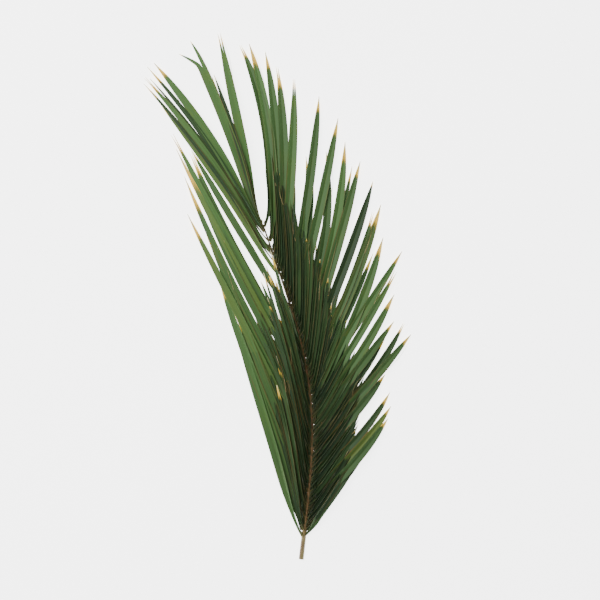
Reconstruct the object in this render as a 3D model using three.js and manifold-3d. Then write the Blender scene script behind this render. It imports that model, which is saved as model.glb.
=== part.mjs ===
// Cut frond of a phoenix palm, lying flat with its upper face up.
// Millimetres, +Z up. The rachis runs along +Y from its cut end to its tip, and the origin is
// the middle of the flat spot under it, on which the frond lies. Angles are in degrees, and a
// lean is turned from +Y towards -X as seen from above.
import * as THREE from 'three';
import Module from 'manifold-3d';

const wasm = await Module();
wasm.setup();

// Rachis: the midrib, cut at its thick end
const rachisLength = 520;
const rachisLean = { atCut: -6.5, atTip: 19, bendFrom: 0.12, bendTo: 0.86 };
const rachisWidth = { atCut: 7.6, atTip: 2.6 };
const rachisHeightShare = 0.82;
const rachisRise = { from: 0.68, atTip: 7 };
const rachisRings = 26;
const restAlong = 0.62;

// Half of the rachis section, from its flat underside to its ridge, as shares of width and height
const rachisHalfSection = [[0.3, 0], [0.5, 0.32], [0.46, 0.64], [0.18, 1]];

// Leaflets: folded blades with a keel below, narrow at the root and drawn out to a thin tip
const bladeThickness = 0.8;
const bladeTipWidth = 1.2;
const bladeRootShare = 0.4;
const bladeWidest = 0.26;
const bladeTaper = 6;
const bladeFold = { atRoot: 32, atTip: 14 };
const rootTurn = { angle: 15, reach: 0.06 };
const rootHeightShare = 0.5;
const upperRise = 0.2;
const pathSteps = 36;

// The main leaflets, one by one. Each has how far along the rachis it grows, where its tip lies,
// its bow (how far its lean grows from root to tip) and its widest width. A tip is so many steps
// to the right of the cut end and so many up from it.
const tipStep = 1.523;
const leftPlaces = [
  [0.999, -82, 526, 1, 16],
  [0.993, -89, 482, 0, 8],
  [0.997, -111, 518, 10, 16],
  [0.99, -147, 496, 16, 15],
  [0.98, -154, 492, 15, 9],
  [0.925, -156, 481, 14, 10],
  [0.91, -157, 475, 12, 8],
  [0.85, -143, 458, 10, 11.5],
  [0.745, -110, 409, -2, 12],
  [0.6, -111, 407, -12, 15.5],
  [0.56, -129, 425, -2, 14.5],
  [0.52, -125, 410, -4, 11],
  [0.47, -105, 373, -8, 13],
  [0.42, -117, 383, -9, 14.5],
  [0.375, -97, 333, -10, 14.5],
  [0.33, -114, 345, 0, 15],
  [0.28, -88, 319, -9, 14.5],
  [0.24, -73, 287, -8, 14.5],
  [0.2, -82, 279, -6, 14.5],
  [0.16, -63, 241, -4, 14.5],
  [0.12, -74, 261, 0, 15],
  [0.085, -58, 217, 6, 14],
  [0.066, -71, 252, 2, 15],
];
const rightPlaces = [
  [0.995, -61, 515, 33, 16.5],
  [0.95, -52, 516, 21, 16.5],
  [0.91, -36, 508, 15, 16],
  [0.885, -24, 493, 14, 16],
  [0.86, -7, 480, 7, 16],
  [0.84, -10, 399, 20, 10],
  [0.79, 18, 463, 7, 16],
  [0.77, 5, 403, 20, 9],
  [0.735, 37, 441, 3, 16],
  [0.68, 25, 408, 28, 14.5],
  [0.655, 44, 418, 19, 16],
  [0.62, 59, 398, 4, 16.5],
  [0.6, 72, 378, 8, 16],
  [0.56, 72, 347, 16, 12],
  [0.54, 80, 355, 10, 17],
  [0.47, 82, 322, 15, 17],
  [0.5, 101, 308, 2, 14.5],
  [0.45, 95, 288, 4, 12.5],
  [0.42, 93, 265, 12, 15.5],
  [0.4, 93, 238, 2, 14.5],
  [0.35, 103, 236, 19, 13.5],
  [0.34, 110, 225, 3, 15.5],
  [0.31, 84, 185, 13, 14.5],
  [0.28, 77, 187, 12, 13],
  [0.24, 89, 167, 24, 13],
  [0.2, 90, 153, 18, 15],
  [0.16, 87, 141, 15, 15],
  [0.12, 71, 121, 12, 13],
  [0.085, 61, 107, 4, 13],
  [0.07, 44, 85, 2, 11],
];

// Leaflets in rows that lie over the others. A station gives how far along the rachis it is, and
// there the leaflets' lean, length, bow and width.
const upperStations = [
  { at: 0.1, lean: 12, length: 245, bow: 6, width: 9 },
  { at: 0.46, lean: 16, length: 255, bow: 6, width: 9 },
];

const ranks = [
  {
    side: 1, places: leftPlaces, seed: 25, segments: 6,
    roll: { atRoot: 52, atTip: 12, flatAt: 0.45 }, arch: 8, upper: 0, tipHeight: 3,
  },
  {
    side: -1, places: rightPlaces, seed: 68, segments: 6,
    roll: { atRoot: 50, atTip: 12, flatAt: 0.4 }, arch: 8, upper: 0, tipHeight: 3,
  },
  {
    side: 1, stations: upperStations, count: 7, from: 0.1, to: 0.46, pairing: 0.2, clumpLean: 1.5,
    seed: 31, segments: 6, roll: { atRoot: 60, atTip: 40, flatAt: 0.9 }, arch: 4, upper: 10,
    tipHeight: 2,
  },
];

// How far each quantity wanders from leaflet to leaflet, to either side. Placed leaflets wander
// in roll, arch and tip height alone. Leaflets that stand in one clump lean together.
const wander = {
  along: 0.006, lean: 0.6, length: 0.08, bow: 3, width: 0.12, roll: 5, arch: 0.8,
};
const clumpSize = 3;

const toRadians = (degrees) => THREE.MathUtils.degToRad(degrees);
const mix = (from, to, share) => from + (to - from) * share;
const smooth = (from, to, value) => THREE.MathUtils.smoothstep(value, from, to);

// A repeatable row of numbers from 0 to 1
function seededRow(seed) {
  const multiplier = 1664525;
  const increment = 1013904223;
  const modulus = 2 ** 32;
  let state = (seed * multiplier + increment) % modulus;
  return () => {
    state = (state * multiplier + increment) % modulus;
    return state / modulus;
  };
}

// Points of a plan line that starts at (x, y) and whose lean changes along it
function planLine(x, y, length, steps, leanAt) {
  const points = [{ x, y, lean: leanAt(0) }];
  for (let step = 0; step < steps; step += 1) {
    const lean = toRadians(leanAt((step + 0.5) / steps));
    const last = points[step];
    points.push({
      x: last.x - (Math.sin(lean) * length) / steps,
      y: last.y + (Math.cos(lean) * length) / steps,
      lean: leanAt((step + 1) / steps),
    });
  }
  return points;
}

// The point and lean at a share of a plan line
function along(line, share) {
  const place = Math.min(Math.max(share, 0), 1) * (line.length - 1);
  const index = Math.min(Math.floor(place), line.length - 2);
  const part = place - index;
  return {
    x: mix(line[index].x, line[index + 1].x, part),
    y: mix(line[index].y, line[index + 1].y, part),
    lean: mix(line[index].lean, line[index + 1].lean, part),
  };
}

// The rachis centre line, moved so that its resting spot is at the origin
function makeRachisLine() {
  const leanAt = (share) =>
    mix(rachisLean.atCut, rachisLean.atTip, smooth(rachisLean.bendFrom, rachisLean.bendTo, share));
  const line = planLine(0, 0, rachisLength, pathSteps * 2, leanAt);
  const rest = along(line, restAlong);
  return line.map((point) => ({ x: point.x - rest.x, y: point.y - rest.y, lean: point.lean }));
}

const rachisLine = makeRachisLine();
const rachisWidthAt = (share) => mix(rachisWidth.atCut, rachisWidth.atTip, share);
const rachisRiseAt = (share) => rachisRise.atTip * smooth(rachisRise.from, 1, share);

// A point of a section that stands upright across a plan line: across to the right, up along Z
function sectionPoint(centre, across, up) {
  const lean = toRadians(centre.lean);
  return [centre.x + across * Math.cos(lean), centre.y + across * Math.sin(lean), up];
}

// Joins rings of points into one closed solid. Each ring runs anticlockwise as seen from
// behind. Quads from sameFrom on are split the other way, and capQuads close the two ends.
function solidFromRings(rings, sameFrom, capQuads) {
  const size = rings[0].length;
  const triangles = [];
  for (let ring = 0; ring < rings.length - 1; ring += 1) {
    for (let side = 0; side < size; side += 1) {
      const near = ring * size + side;
      const nearNext = ring * size + ((side + 1) % size);
      const far = near + size;
      const farNext = nearNext + size;
      if (side < sameFrom) {
        triangles.push(nearNext, near, far, nearNext, far, farNext);
      } else {
        triangles.push(nearNext, near, farNext, near, far, farNext);
      }
    }
  }
  const last = (rings.length - 1) * size;
  for (const [a, b, c, d] of capQuads) {
    triangles.push(a, b, c, a, c, d);
    triangles.push(last + c, last + b, last + a, last + d, last + c, last + a);
  }
  return new wasm.Manifold(new wasm.Mesh({
    numProp: 3,
    vertProperties: new Float32Array(rings.flat(2)),
    triVerts: new Uint32Array(triangles),
  }));
}

// The rachis as one tapered solid with a flat underside
function makeRachis() {
  const rings = [];
  for (let ring = 0; ring <= rachisRings; ring += 1) {
    const share = ring / rachisRings;
    const centre = along(rachisLine, share);
    const width = rachisWidthAt(share);
    const height = width * rachisHeightShare;
    const foot = rachisRiseAt(share);
    const right = rachisHalfSection.map(([across, up]) =>
      sectionPoint(centre, across * width, foot + up * height));
    const left = rachisHalfSection.map(([across, up]) =>
      sectionPoint(centre, -across * width, foot + up * height)).reverse();
    rings.push([...right, ...left]);
  }
  return solidFromRings(rings, rings[0].length, [[0, 1, 6, 7], [1, 2, 5, 6], [2, 3, 4, 5]]);
}

// What the stations say at one place, read between the two nearest of them
function readStations(stations, at) {
  let index = 0;
  while (index < stations.length - 2 && at > stations[index + 1].at) {
    index += 1;
  }
  const low = stations[index];
  const high = stations[index + 1];
  const share = Math.min(Math.max((at - low.at) / (high.at - low.at), 0), 1);
  const read = (name) => mix(low[name], high[name], share);
  return { lean: read('lean'), length: read('length'), bow: read('bow'), width: read('width') };
}

// The lean, length, bow and width of each placed leaflet of a rank
function growPlaced(rank) {
  const cut = rachisLine[0];
  return rank.places.map(([at, right, up, bow, width]) => {
    const root = along(rachisLine, at);
    const across = root.x - (cut.x + right * tipStep);
    const ahead = cut.y + up * tipStep - root.y;
    const slack = 1 + toRadians(bow) ** 2 / 24;
    const lean = THREE.MathUtils.radToDeg(Math.atan2(across, ahead));
    return { at, lean, length: Math.hypot(across, ahead) * slack, bow, width };
  });
}

// The lean, length, bow and width of each leaflet of a row
function growRow(rank, sway) {
  const leaflets = [];
  let clumpLean = 0;
  for (let index = 0; index < rank.count; index += 1) {
    if (index % clumpSize === 0) {
      clumpLean = sway(rank.clumpLean);
    }
    const paired = index % 2 === 1 ? rank.pairing : 0;
    const place = (index - paired) / (rank.count - 1);
    const at = Math.min(mix(rank.from, rank.to, place) + sway(wander.along), rank.to);
    const mean = readStations(rank.stations, at);
    leaflets.push({
      at,
      lean: mean.lean + clumpLean + sway(wander.lean),
      length: mean.length * (1 + sway(wander.length)),
      bow: mean.bow + sway(wander.bow),
      width: mean.width * (1 + sway(wander.width)),
    });
  }
  return leaflets;
}

// The leaflets of one rank, each with its own small differences
function growRank(rank) {
  const draw = seededRow(rank.seed);
  const sway = (amount) => (draw() * 2 - 1) * amount;
  const leaflets = rank.places ? growPlaced(rank) : growRow(rank, sway);
  return leaflets.map((leaflet) => ({
    ...leaflet,
    side: rank.side,
    roll: { ...rank.roll, sway: sway(wander.roll) },
    arch: rank.arch + sway(wander.arch),
    tipHeight: Math.max(0, sway(rank.tipHeight)),
    upper: rank.upper,
    segments: rank.segments,
  }));
}

// Blade width along a leaflet
function bladeWidthAt(leaflet, share) {
  const opening = mix(bladeRootShare, 1, smooth(0, bladeWidest, share));
  return Math.max(leaflet.width * opening * (1 - share ** bladeTaper), bladeTipWidth);
}

// One folded blade as a closed solid
function makeLeaflet(leaflet) {
  const root = along(rachisLine, leaflet.at);
  const rachisHeight = rachisWidthAt(leaflet.at) * rachisHeightShare;
  const rootHeight = rachisRiseAt(leaflet.at) + rachisHeight * rootHeightShare;
  const leanAt = (share) => leaflet.lean + leaflet.bow * (share - 0.5)
    + leaflet.side * rootTurn.angle * (Math.exp(-share / rootTurn.reach) - rootTurn.reach);
  const line = planLine(root.x, root.y, leaflet.length, pathSteps, leanAt);
  const rings = [];
  for (let ring = 0; ring <= leaflet.segments; ring += 1) {
    const share = ring / leaflet.segments;
    const centre = along(line, share);
    const half = bladeWidthAt(leaflet, share) / 2;
    const fold = toRadians(mix(bladeFold.atRoot, bladeFold.atTip, share));
    const { atRoot, atTip, flatAt, sway } = leaflet.roll;
    const roll = toRadians(mix(atRoot, atTip, smooth(0, flatAt, share)) + sway * share);
    const clearance = half * Math.max(0, Math.sin(roll - fold));
    const lifted = leaflet.upper * smooth(0, upperRise, share);
    const keel = rootHeight * (1 - share) ** 2 + leaflet.arch * Math.sin(Math.PI * share)
      + leaflet.tipHeight * share + lifted + clearance;
    const turn = leaflet.side * roll;
    const point = (across, up) => sectionPoint(
      centre,
      across * Math.cos(turn) - up * Math.sin(turn),
      keel + across * Math.sin(turn) + up * Math.cos(turn),
    );
    const out = half * Math.cos(fold);
    const up = half * Math.sin(fold);
    rings.push([
      point(-out, up), point(0, 0), point(out, up),
      point(out, up + bladeThickness), point(0, bladeThickness), point(-out, up + bladeThickness),
    ]);
  }
  return solidFromRings(rings, 3, [[0, 1, 4, 5], [1, 2, 3, 4]]);
}

// The frond: its rachis with every leaflet grown into it, as one body
function makeFrond() {
  const leaflets = ranks.flatMap(growRank).map(makeLeaflet);
  const joined = leaflets.reduce((body, leaflet) => body.add(leaflet), makeRachis());
  const bodies = joined.decompose();
  const whole = bodies.reduce((largest, body) => (body.volume() > largest.volume() ? body : largest));
  const { vertProperties, triVerts } = whole.getMesh();
  const geometry = new THREE.BufferGeometry();
  geometry.setAttribute('position', new THREE.BufferAttribute(vertProperties, 3));
  geometry.setIndex(new THREE.BufferAttribute(triVerts, 1));
  geometry.computeVertexNormals();
  const material = new THREE.MeshStandardMaterial({
    color: 0x3f5c33, roughness: 0.48, metalness: 0, flatShading: true,
  });
  const mesh = new THREE.Mesh(geometry, material);
  mesh.name = 'frond';
  return mesh;
}

const palmFrond = new THREE.Group();
palmFrond.add(makeFrond());

export default palmFrond;
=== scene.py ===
"""Dresses a cut phoenix palm frond that lies flat, seen from straight above.

The rachis and its leaflets follow the same lines and sizes as the plain solid that they replace,
with finer blades, veins, keels, swollen leaflet bases, split and dry tips and loose fibres.
Sizes are in millimetres and angles in degrees, unless a name says otherwise. A lean is turned
from +Y towards -X as seen from above.
"""

import logging
import math
from collections.abc import Callable, Iterable
from dataclasses import dataclass, field
from enum import Enum
from typing import ClassVar

import bpy
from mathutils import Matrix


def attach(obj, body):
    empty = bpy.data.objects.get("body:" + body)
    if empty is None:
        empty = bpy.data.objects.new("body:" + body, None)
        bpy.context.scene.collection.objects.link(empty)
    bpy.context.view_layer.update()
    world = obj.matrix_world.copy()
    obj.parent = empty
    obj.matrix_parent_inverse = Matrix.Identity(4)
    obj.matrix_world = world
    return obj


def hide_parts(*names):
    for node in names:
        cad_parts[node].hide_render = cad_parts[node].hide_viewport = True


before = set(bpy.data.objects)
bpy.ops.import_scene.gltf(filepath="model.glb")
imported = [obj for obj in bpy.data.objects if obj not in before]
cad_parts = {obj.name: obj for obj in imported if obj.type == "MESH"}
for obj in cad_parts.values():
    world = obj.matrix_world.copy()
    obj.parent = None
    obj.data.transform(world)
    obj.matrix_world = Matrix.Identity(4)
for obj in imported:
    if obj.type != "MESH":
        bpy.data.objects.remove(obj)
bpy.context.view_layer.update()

MM = 0.001
NODE = "frond"
BODY = "root"
BLADE_MAP = "blade"
BLADE_ANGLE = 50.0
ROUND_ANGLE = 60.0
RIDGE_ANGLE = 40.0

Colour = tuple[float, float, float]
Point = tuple[float, float, float]
Span = tuple[float, float]
Piece = bpy.types.Object
Socket = bpy.types.NodeSocket
log = logging.getLogger("frond")


class Slot(Enum):
    """The record's material slots."""

    GREEN = "leaflet_green"
    TAN = "rachis_tan"


def mix(low: float, high: float, share: float) -> float:
    """Returns the value at a share of the way from low to high."""
    return low + (high - low) * share


def smooth(low: float, high: float, value: float) -> float:
    """Returns 0 below low and 1 above high, with an even ease between."""
    share = min(max((value - low) / (high - low), 0.0), 1.0)
    return share * share * (3 - 2 * share)


def deselect_all() -> None:
    """Leaves object mode with nothing selected, so that an operator acts on one piece alone."""
    if bpy.context.object and bpy.context.object.mode != "OBJECT":
        bpy.ops.object.mode_set(mode="OBJECT")
    bpy.ops.object.select_all(action="DESELECT")


def pick(piece: Piece) -> None:
    """Makes a piece the only selected and the active object.

    Args:
        piece: The object to select.
    """
    deselect_all()
    piece.select_set(True)
    bpy.context.view_layer.objects.active = piece


def select_vertices(piece: Piece, wanted: Callable[[Point], bool]) -> None:
    """Selects a piece's vertices by their place and leaves it in edit mode.

    Args:
        piece: The object whose mesh is shaped.
        wanted: Says of a vertex's coordinates whether it is selected.
    """
    pick(piece)
    bpy.ops.object.mode_set(mode="EDIT")
    bpy.ops.mesh.select_mode(type="VERT")
    bpy.ops.mesh.select_all(action="DESELECT")
    bpy.ops.object.mode_set(mode="OBJECT")
    for vertex in piece.data.vertices:
        vertex.select = wanted(tuple(vertex.co))
    bpy.ops.object.mode_set(mode="EDIT")


def resize_where(
    piece: Piece, wanted: Callable[[Point], bool], value: Point, centre: Point = (0, 0, 0)
) -> None:
    """Scales the vertices in some place about a centre and goes back to object mode.

    Args:
        piece: The object whose mesh is shaped.
        wanted: Says of a vertex's coordinates whether it is scaled.
        value: The factor along each axis.
        centre: The point that stays where it is.
    """
    select_vertices(piece, wanted)
    bpy.ops.transform.resize(value=value, center_override=centre)
    bpy.ops.object.mode_set(mode="OBJECT")


def smooth_under(piece: Piece, angle: float) -> None:
    """Shades a piece smooth but for edges sharper than an angle."""
    pick(piece)
    bpy.ops.object.shade_smooth_by_angle(angle=math.radians(angle))


def copy_of(blank: Piece, name: str) -> Piece:
    """Copies a blank, with a mesh of its own.

    Args:
        blank: The object to copy.
        name: The copy's name.

    Returns:
        The copy, linked to the scene.
    """
    piece = blank.copy()
    piece.data = blank.data.copy()
    piece.name = name
    bpy.context.collection.objects.link(piece)
    return piece


def join(pieces: list[Piece], name: str) -> Piece:
    """Joins pieces into one object.

    Args:
        pieces: The objects to join. They're used up.
        name: The name of the joined object and of its mesh.

    Returns:
        The joined object.
    """
    deselect_all()
    for piece in pieces:
        piece.select_set(True)
    bpy.context.view_layer.objects.active = pieces[0]
    bpy.ops.object.join()
    whole = bpy.context.view_layer.objects.active
    whole.name = name
    whole.data.name = name
    return whole


def remove(piece: Piece) -> None:
    """Removes an object and its mesh.

    Args:
        piece: The object, which nothing uses any longer.
    """
    mesh = piece.data
    bpy.data.objects.remove(piece)
    bpy.data.meshes.remove(mesh)


class SeededRow:
    """A repeatable row of numbers from 0 to 1."""

    multiplier = 1664525
    increment = 1013904223
    modulus = 2**32

    def __init__(self, seed: int) -> None:
        """Starts the row at a seed."""
        self.state = (seed * self.multiplier + self.increment) % self.modulus

    def draw(self) -> float:
        """Returns the next number."""
        self.state = (self.state * self.multiplier + self.increment) % self.modulus
        return self.state / self.modulus

    def sway(self, amount: float) -> float:
        """Returns the next number, spread from -amount to amount."""
        return (self.draw() * 2 - 1) * amount


@dataclass(frozen=True)
class LinePoint:
    """A place on a plan line and the lean of the line there."""

    x: float
    y: float
    lean: float

    def section(self, across: float, up: float) -> Point:
        """Places a point of the upright section here.

        Args:
            across: How far to the right of the line, as seen along it.
            up: The height over the floor.

        Returns:
            The point in metres.
        """
        turn = math.radians(self.lean)
        return (
            (self.x + across * math.cos(turn)) * MM,
            (self.y + across * math.sin(turn)) * MM,
            up * MM,
        )


class PlanLine:
    """A line seen from above, whose lean changes along it."""

    def __init__(
        self, start: tuple[float, float], length: float, steps: int, lean_at: Callable[[float], float]
    ) -> None:
        """Walks the line.

        Args:
            start: Where the line starts.
            length: Its length.
            steps: How many straight steps it is walked in.
            lean_at: Gives the lean at a share of the length.
        """
        x, y = start
        self.points = [LinePoint(x, y, lean_at(0))]
        for step in range(steps):
            lean = math.radians(lean_at((step + 0.5) / steps))
            x -= math.sin(lean) * length / steps
            y += math.cos(lean) * length / steps
            self.points.append(LinePoint(x, y, lean_at((step + 1) / steps)))

    def at(self, share: float) -> LinePoint:
        """Reads the line between two of its points.

        Args:
            share: How far along the line, from 0 to 1.

        Returns:
            The place and lean there.
        """
        place = min(max(share, 0.0), 1.0) * (len(self.points) - 1)
        index = min(int(place), len(self.points) - 2)
        part = place - index
        near, far = self.points[index], self.points[index + 1]
        return LinePoint(
            mix(near.x, far.x, part), mix(near.y, far.y, part), mix(near.lean, far.lean, part)
        )

    def move(self, x: float, y: float) -> None:
        """Moves the whole line."""
        self.points = [LinePoint(p.x + x, p.y + y, p.lean) for p in self.points]


class NodeBoard:
    """The shader nodes of one material."""

    def __init__(self, name: str) -> None:
        """Starts a material with a Principled shader only.

        Args:
            name: The material's name.
        """
        self.material = bpy.data.materials.new(name)
        self.material.use_nodes = True
        self.tree = self.material.node_tree
        self.tree.nodes.clear()
        self.shader = self.add("ShaderNodeBsdfPrincipled")
        output = self.add("ShaderNodeOutputMaterial")
        self.tree.links.new(self.shader.outputs["BSDF"], output.inputs["Surface"])

    def add(self, kind: str, **settings: object) -> bpy.types.Node:
        """Adds a node.

        Args:
            kind: The node's type.
            **settings: Values of the node's own properties, by name.

        Returns:
            The new node.
        """
        node = self.tree.nodes.new(kind)
        for name, value in settings.items():
            setattr(node, name, value)
        return node

    def feed(self, node: bpy.types.Node, socket: str | int, value: object) -> None:
        """Gives a socket a constant, or links another node's output to it.

        Args:
            node: The node that takes the value.
            socket: The name or number of its input.
            value: A number, a vector, a colour or another node's output.
        """
        if isinstance(value, Socket):
            self.tree.links.new(value, node.inputs[socket])
        elif isinstance(value, tuple) and len(value) == 3 and node.inputs[socket].type == "RGBA":
            node.inputs[socket].default_value = (*value, 1.0)
        else:
            node.inputs[socket].default_value = value

    def math(self, operation: str, *values: object) -> Socket:
        """Adds a Math node.

        Args:
            operation: What it works out.
            *values: Its one to three values.

        Returns:
            The result.
        """
        node = self.add("ShaderNodeMath", operation=operation)
        for index, value in enumerate(values):
            self.feed(node, index, value)
        return node.outputs[0]

    def times(self, first: object, second: object) -> Socket:
        """Returns the product of two values."""
        return self.math("MULTIPLY", first, second)

    def rest(self, value: object) -> Socket:
        """Returns what a value leaves of 1."""
        return self.math("SUBTRACT", 1.0, value)

    def ease(self, value: object, low: object, high: object) -> Socket:
        """Turns a value into a share, with an even ease from 0 to 1.

        Args:
            value: The value.
            low: Where the share is still 0.
            high: Where the share has reached 1.

        Returns:
            The share.
        """
        node = self.add("ShaderNodeMapRange", interpolation_type="SMOOTHSTEP")
        self.feed(node, "Value", value)
        self.feed(node, "From Min", low)
        self.feed(node, "From Max", high)
        return node.outputs[0]

    def blend(self, share: object, first: object, second: object) -> Socket:
        """Blends two colours.

        Args:
            share: How much of the second one shows, from 0 to 1.
            first: The first colour.
            second: The second colour.

        Returns:
            The colour between them.
        """
        node = self.add("ShaderNodeMix", data_type="RGBA")
        self.feed(node, 0, share)
        self.feed(node, 6, first)
        self.feed(node, 7, second)
        return node.outputs[2]

    def ramp(self, share: object, stops: Iterable[tuple[float, Colour]]) -> Socket:
        """Reads a colour from a row of stops.

        Args:
            share: Where on the row, from 0 to 1.
            stops: The place and the colour of each stop, in rising order.

        Returns:
            The colour there.
        """
        node = self.add("ShaderNodeValToRGB")
        elements = node.color_ramp.elements
        elements.remove(elements[1])
        for index, (place, colour) in enumerate(stops):
            stop = elements[0] if index == 0 else elements.new(place)
            stop.position = place
            stop.color = (*colour, 1.0)
        self.feed(node, "Fac", share)
        return node.outputs["Color"]

    def vector(self, x: object, y: object, z: object) -> Socket:
        """Puts three values together.

        Args:
            x: The first value.
            y: The second value.
            z: The third value.

        Returns:
            The vector.
        """
        node = self.add("ShaderNodeCombineXYZ")
        for index, value in enumerate((x, y, z)):
            self.feed(node, index, value)
        return node.outputs[0]

    def noise(self, vector: object, scale: float, detail: float = 2.0) -> Socket:
        """Adds soft noise.

        Args:
            vector: Where the noise is read.
            scale: How fine it is.
            detail: How many finer layers it has.

        Returns:
            The noise, from 0 to 1.
        """
        node = self.add("ShaderNodeTexNoise")
        self.feed(node, "Vector", vector)
        self.feed(node, "Scale", scale)
        self.feed(node, "Detail", detail)
        return node.outputs["Fac"]

    def attribute(self, name: str) -> Socket:
        """Returns a number that the mesh carries at its vertices."""
        return self.add("ShaderNodeAttribute", attribute_name=name).outputs["Fac"]

    def place(self, stretch: Point) -> Socket:
        """Reads Object coordinates.

        Args:
            stretch: The factor along each axis.

        Returns:
            The coordinates times the factors.
        """
        node = self.add("ShaderNodeMapping")
        self.feed(node, "Vector", self.add("ShaderNodeTexCoord").outputs["Object"])
        self.feed(node, "Scale", stretch)
        return node.outputs[0]

    def relief(self, height: object, strength: float, depth: float) -> None:
        """Gives the shader a bump.

        Args:
            height: The height pattern, from 0 to 1.
            strength: How much of the bump shows.
            depth: How deep it is, in millimetres.
        """
        node = self.add("ShaderNodeBump")
        self.feed(node, "Strength", strength)
        self.feed(node, "Distance", depth * MM)
        self.feed(node, "Height", height)
        self.feed(self.shader, "Normal", node.outputs["Normal"])


@dataclass(frozen=True)
class LeafSkin:
    """The waxy skin of a blade: veins, folded keel, margins and a tip that has dried."""

    name: str
    deep: Colour
    fresh: Colour
    specular: float = 0.16
    lime: Colour = (0.115, 0.175, 0.030)
    ripe: Colour = (0.330, 0.330, 0.050)
    margin: Colour = (0.160, 0.105, 0.036)
    gold: Colour = (0.900, 0.560, 0.060)
    straw: Colour = (0.920, 0.700, 0.180)
    pale: Colour = (0.920, 0.850, 0.600)
    tan: Colour = (0.600, 0.320, 0.070)
    brown: Colour = (0.150, 0.070, 0.024)
    roughness: float = 0.4
    streak_roughness: float = 0.16
    dry_roughness: float = 0.3
    veins: float = 15.0
    vein_depth: float = 0.12
    vein_share: float = 0.4
    vein_tint: float = 0.16
    seed_step: float = 91.0
    streaks_across: float = 26.0
    patches_along: float = 5.0
    patch_scale: float = 1.3
    light_of_tone: float = 0.8
    light_of_streaks: float = 0.35
    light: Span = (0.1, 1.05)
    yellowed_patches: Span = (0.52, 0.8)
    yellowed_tones: Span = (0.3, 1.0)
    yellowed_tint: float = 0.7
    ripe_streaks: Span = (0.3, 0.6)
    shaded_reach: float = 0.6
    shaded_tint: float = 0.25
    keel: Span = (0.02, 0.13)
    keel_tint: float = 0.45
    worn_edge: Span = (0.72, 0.98)
    worn_patches: Span = (0.3, 0.6)
    ragged: float = 0.9
    dry_margin: float = 0.25
    dry_ease: float = 0.3
    tanned_tones: Span = (0.6, 1.0)
    tanned_tint: float = 0.3
    root_reach: float = 0.05
    root_tint: float = 0.55
    relief: float = 0.6

    def dress(self) -> bpy.types.Material:
        """Makes the skin as a material that reads the blade's own map and numbers.

        Returns:
            The material.
        """
        board = NodeBoard(self.name)
        split = board.add("ShaderNodeSeparateXYZ")
        board.feed(split, 0, board.add("ShaderNodeUVMap", uv_map=BLADE_MAP).outputs["UV"])
        side, along = split.outputs["X"], split.outputs["Y"]
        out = board.math("ABSOLUTE", board.math("MULTIPLY_ADD", side, 2.0, -1.0))
        tone = board.attribute("tone")
        dry = board.attribute("dry")
        worn = board.attribute("worn")
        yellow = board.attribute("yellow")

        seed = board.times(tone, self.seed_step)
        streaks = board.noise(board.vector(board.times(side, self.streaks_across), along, seed), 1.0)
        wave = board.math("SINE", board.times(side, 2 * math.pi * self.veins))
        vein = board.math("MULTIPLY_ADD", wave, 0.5, 0.5)
        patched = board.vector(out, board.times(along, self.patches_along), seed)
        patches = board.noise(patched, self.patch_scale)

        light = board.math(
            "ADD", board.times(tone, self.light_of_tone), board.times(streaks, self.light_of_streaks)
        )
        green = board.blend(board.ease(light, *self.light), self.deep, self.fresh)
        yellowed = board.times(
            board.ease(patches, *self.yellowed_patches), board.ease(tone, *self.yellowed_tones)
        )
        green = board.blend(board.times(yellowed, self.yellowed_tint), green, self.lime)
        green = board.blend(board.times(yellow, board.ease(streaks, *self.ripe_streaks)), green, self.ripe)
        shaded = board.rest(board.ease(along, 0.0, self.shaded_reach))
        green = board.blend(board.times(shaded, self.shaded_tint), green, self.deep)
        green = board.blend(board.times(vein, self.vein_tint), green, self.lime)
        keel = board.rest(board.ease(out, *self.keel))
        green = board.blend(board.times(keel, self.keel_tint), green, self.lime)
        edge = board.times(board.ease(out, *self.worn_edge), board.ease(patches, *self.worn_patches))
        green = board.blend(board.times(edge, worn), green, self.margin)

        ragged = board.times(board.math("SUBTRACT", streaks, 0.5), self.ragged)
        start = board.rest(dry)
        dried = board.math("DIVIDE", board.math("SUBTRACT", along, start), dry)
        dried = board.math("ADD", dried, board.math("ADD", ragged, board.times(out, self.dry_margin)))
        husk = board.ramp(dried, (
            (0.0, self.brown), (0.06, self.tan), (0.15, self.gold), (0.7, self.straw), (1.0, self.pale)
        ))
        tanned = board.times(board.ease(tone, *self.tanned_tones), self.tanned_tint)
        husk = board.blend(tanned, husk, self.tan)
        dryness = board.ease(dried, 0.0, self.dry_ease)
        colour = board.blend(dryness, green, husk)
        root = board.rest(board.ease(along, 0.0, self.root_reach))
        colour = board.blend(board.times(root, self.root_tint), colour, self.margin)
        board.feed(board.shader, "Base Color", colour)

        roughness = board.math("MULTIPLY_ADD", streaks, self.streak_roughness, self.roughness)
        board.feed(
            board.shader, "Roughness", board.math("MULTIPLY_ADD", dryness, self.dry_roughness, roughness)
        )
        height = board.math("MULTIPLY_ADD", streaks, 1 - self.vein_share, board.times(vein, self.vein_share))
        board.relief(height, self.relief, self.vein_depth)
        board.feed(board.shader, "Specular IOR Level", self.specular)
        return board.material


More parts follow.
